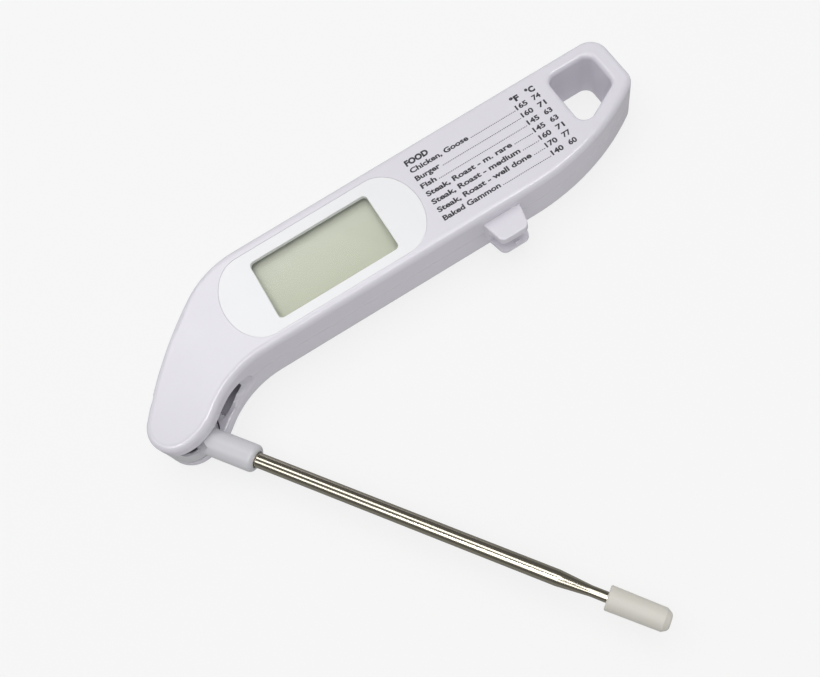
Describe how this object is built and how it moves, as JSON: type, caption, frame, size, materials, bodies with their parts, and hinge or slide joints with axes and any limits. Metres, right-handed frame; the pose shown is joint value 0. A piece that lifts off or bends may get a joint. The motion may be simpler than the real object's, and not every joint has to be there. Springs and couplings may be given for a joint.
{
  "type": "folding probe thermometer",
  "caption": "Folding meat thermometer: slim angled handle with a display window and hanging hole, and a steel probe with a tip cap that folds beside it into a clip.",
  "frame": {"origin": "on the flat back face, where the probe's pivot axis meets it", "axes": "+X along the handle from the pivot to the hanging end, +Y across the handle to its long straight edge, +Z out of the display"},
  "size_m": [0.1641, 0.1432, 0.017],
  "materials": {
    "cover_plastic": "moulded ABS, fine satin gloss",
    "bezel_plastic": "smooth white moulded plate",
    "clear_plastic": "clear acrylic",
    "lcd_cell": "thin glass sheets",
    "lcd_film": "grey-green polarising film",
    "reflector_film": "satin film",
    "holder_plastic": "white moulded",
    "elastomer": "soft silicone",
    "black_rubber": "soft",
    "board_laminate": "solder mask on glass laminate",
    "black_epoxy": "potting",
    "ceramic_parts": "small board parts",
    "reed_glass": "sealed capsule",
    "switch_plastic": "moulded",
    "stem_plastic": "moulded",
    "cell_steel": "nickel plated",
    "contact_metal": "nickel plated spring strip",
    "door_plastic": "moulded ABS",
    "button_plastic": "grey moulded",
    "screw_steel": "zinc plated",
    "hub_plastic": "grey-white moulded",
    "magnet_metal": "nickel plated",
    "probe_steel": "polished stainless",
    "sensor_ceramic": "bead",
    "lead_insulation": "insulated wire",
    "cap_plastic": "soft warm-white plastic"
  },
  "bodies": {
    "handle": {"front_cover": "cover_plastic", "back_cover": "cover_plastic", "display_bezel": "bezel_plastic", "window_pane": "clear_plastic", "lcd_glass": "lcd_cell", "lcd_front_film": "lcd_film", "lcd_reflector": "reflector_film", "lcd_holder": "holder_plastic", "contact_strip": "elastomer", "circuit_board": "board_laminate", "chip_blob": "black_epoxy", "board_parts": "ceramic_parts", "reed_switch": "reed_glass", "tact_switch": "switch_plastic", "coin_cell": "cell_steel", "cell_contact_negative": "contact_metal", "cell_contact_positive": "contact_metal", "case_screws": "screw_steel", "board_screws": "screw_steel", "pivot_seals": "black_rubber", "handle_leads": "lead_insulation"},
    "unit_key": {"unit_button": "button_plastic", "switch_stem": "stem_plastic"},
    "door": {"battery_door": "door_plastic", "door_seal": "black_rubber"},
    "probe": {"probe_hub": "hub_plastic", "hub_magnet": "magnet_metal", "probe_tube": "probe_steel", "temperature_sensor": "sensor_ceramic", "probe_leads": "lead_insulation"},
    "cap": {"tip_cap": "cap_plastic"}
  },
  "joints": [
    {"name": "probe_fold", "type": "hinge", "parent": "handle", "child": "probe", "pos_m": [0, 0, 0.0086], "axis": [0, 0, 1], "range_deg": [-127.1, 52.9]},
    {"name": "cap_pull", "type": "slide", "parent": "probe", "child": "cap", "axis": [0.6032, -0.7976, 0], "range_m": [0, 0.02]},
    {"name": "door_turn", "type": "hinge", "parent": "handle", "child": "door", "pos_m": [0.112, 0.0203, 0], "axis": [0, 0, -1], "range_deg": [0, 45]},
    {"name": "unit_press", "type": "slide", "parent": "handle", "child": "unit_key", "axis": [0, 0, 1], "range_m": [0, 0.0004], "stiffness_N_per_m": 2000}
  ]
}
